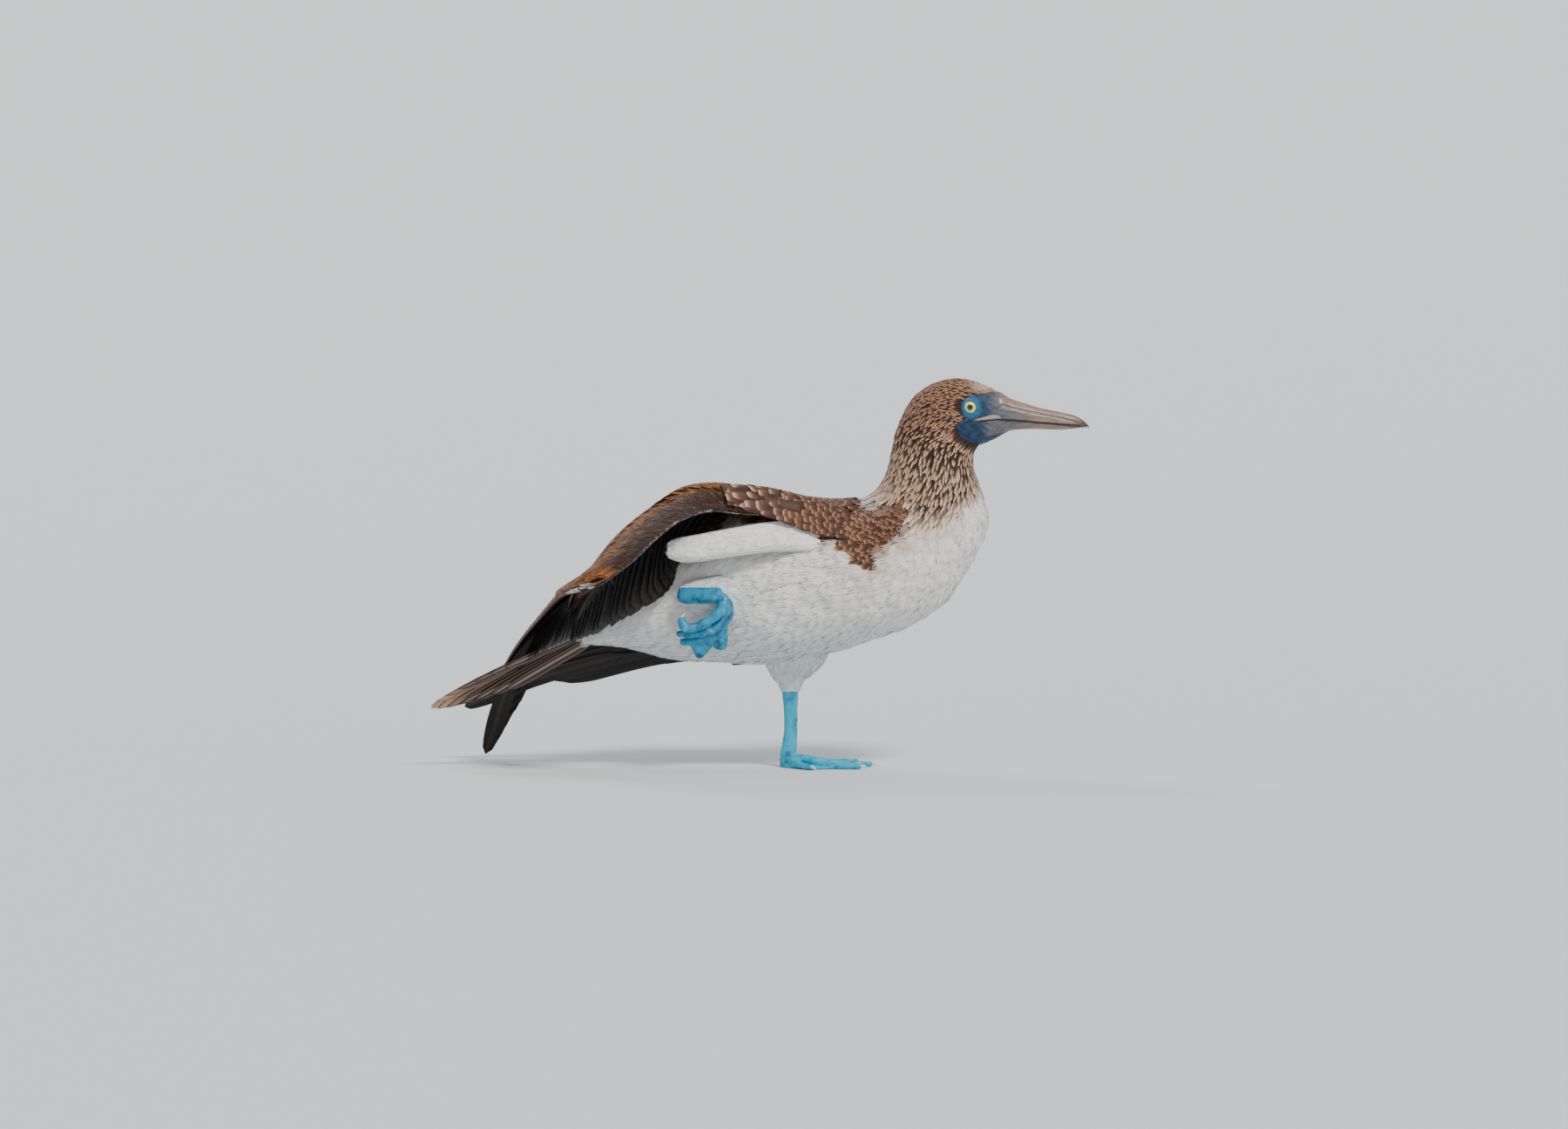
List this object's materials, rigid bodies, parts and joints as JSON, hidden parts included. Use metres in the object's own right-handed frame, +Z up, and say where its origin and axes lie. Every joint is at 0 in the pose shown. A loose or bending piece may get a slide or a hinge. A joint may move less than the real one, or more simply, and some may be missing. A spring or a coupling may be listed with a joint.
{
  "type": "blue-footed booby, still life-size bird model",
  "caption": "Life-size seabird standing on one webbed foot, the other curled to its flank, one wing lifted and drawn across its tail.",
  "frame": {"origin": "on the floor, on the flat sole of the standing left foot, under its shank", "axes": "+X the way the bird faces, +Y to its left, +Z up"},
  "size_m": [0.7019, 0.255, 0.4161],
  "materials": {
    "plumage_white": "soft matt feather",
    "plumage_streaked": "brown feather with cream streaks",
    "plumage_brown": "brown feather with paler edges",
    "flight_feathers": "satin dark feather",
    "bill": "satin horn",
    "eye": "wet, clear",
    "foot_skin": "scaled skin, slightly moist"
  },
  "bodies": {
    "root": {"torso": "plumage_white", "neck": "plumage_streaked", "head": "plumage_streaked", "bill_upper": "bill", "bill_lower": "bill", "eye_right": "eye", "eye_left": "eye", "thigh_left": "plumage_white", "shank_left": "foot_skin", "foot_left": "foot_skin", "thigh_right": "plumage_white", "shank_right": "foot_skin", "foot_right": "foot_skin", "tail": "flight_feathers", "axillaries_right": "plumage_white", "wing_left_arm": "plumage_brown", "wing_left_hand": "flight_feathers", "wing_right_arm": "plumage_brown", "wing_right_hand": "flight_feathers"}
  },
  "joints": []
}
